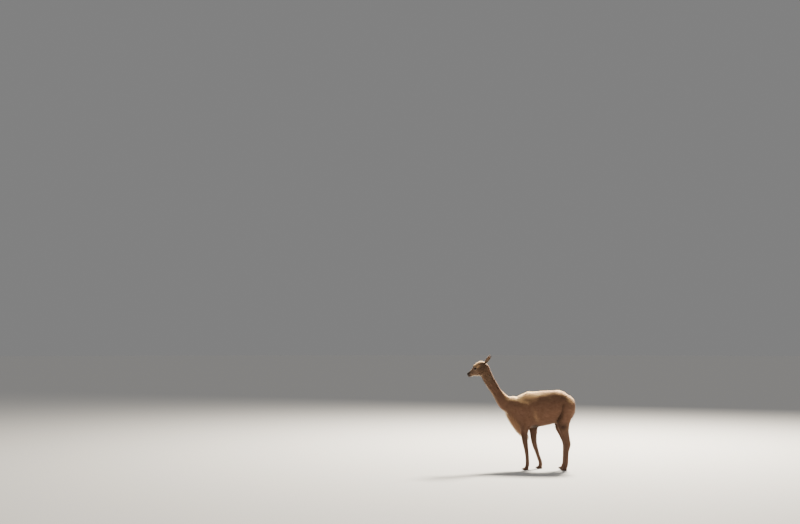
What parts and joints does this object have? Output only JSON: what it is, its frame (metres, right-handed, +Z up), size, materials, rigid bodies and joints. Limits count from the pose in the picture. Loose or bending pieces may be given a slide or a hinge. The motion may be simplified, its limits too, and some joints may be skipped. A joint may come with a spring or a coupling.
{
  "type": "standing vicuna",
  "caption": "Life-size still model of a standing vicuna in left profile: long neck, small head with upright ears, pale chest bib, woolly body on slender two-toed legs.",
  "frame": {"origin": "on the floor, below the middle of the bounding box", "axes": "+Z up, the head points to -X and the tail to +X, the animal's left side faces -Y"},
  "size_m": [1.1522, 0.2878, 1.2183],
  "materials": {
    "wool": "soft cinnamon wool",
    "pale": "long pale hair",
    "face": "short velvety hair",
    "eye": "moist and dark",
    "nail": "dark horn"
  },
  "bodies": {
    "root": {"head": "face", "ear_left": "face", "ear_right": "face", "eye_left": "eye", "eye_right": "eye", "neck": "wool", "chest": "pale", "torso": "wool", "tail": "wool", "thigh_left": "wool", "thigh_right": "wool", "hindleg_left": "wool", "hindleg_right": "wool", "foreleg_left": "wool", "foreleg_right": "wool", "nail_fore_left_inner": "nail", "nail_fore_left_outer": "nail", "nail_fore_right_inner": "nail", "nail_fore_right_outer": "nail", "nail_hind_left_inner": "nail", "nail_hind_left_outer": "nail", "nail_hind_right_inner": "nail", "nail_hind_right_outer": "nail"}
  },
  "joints": []
}
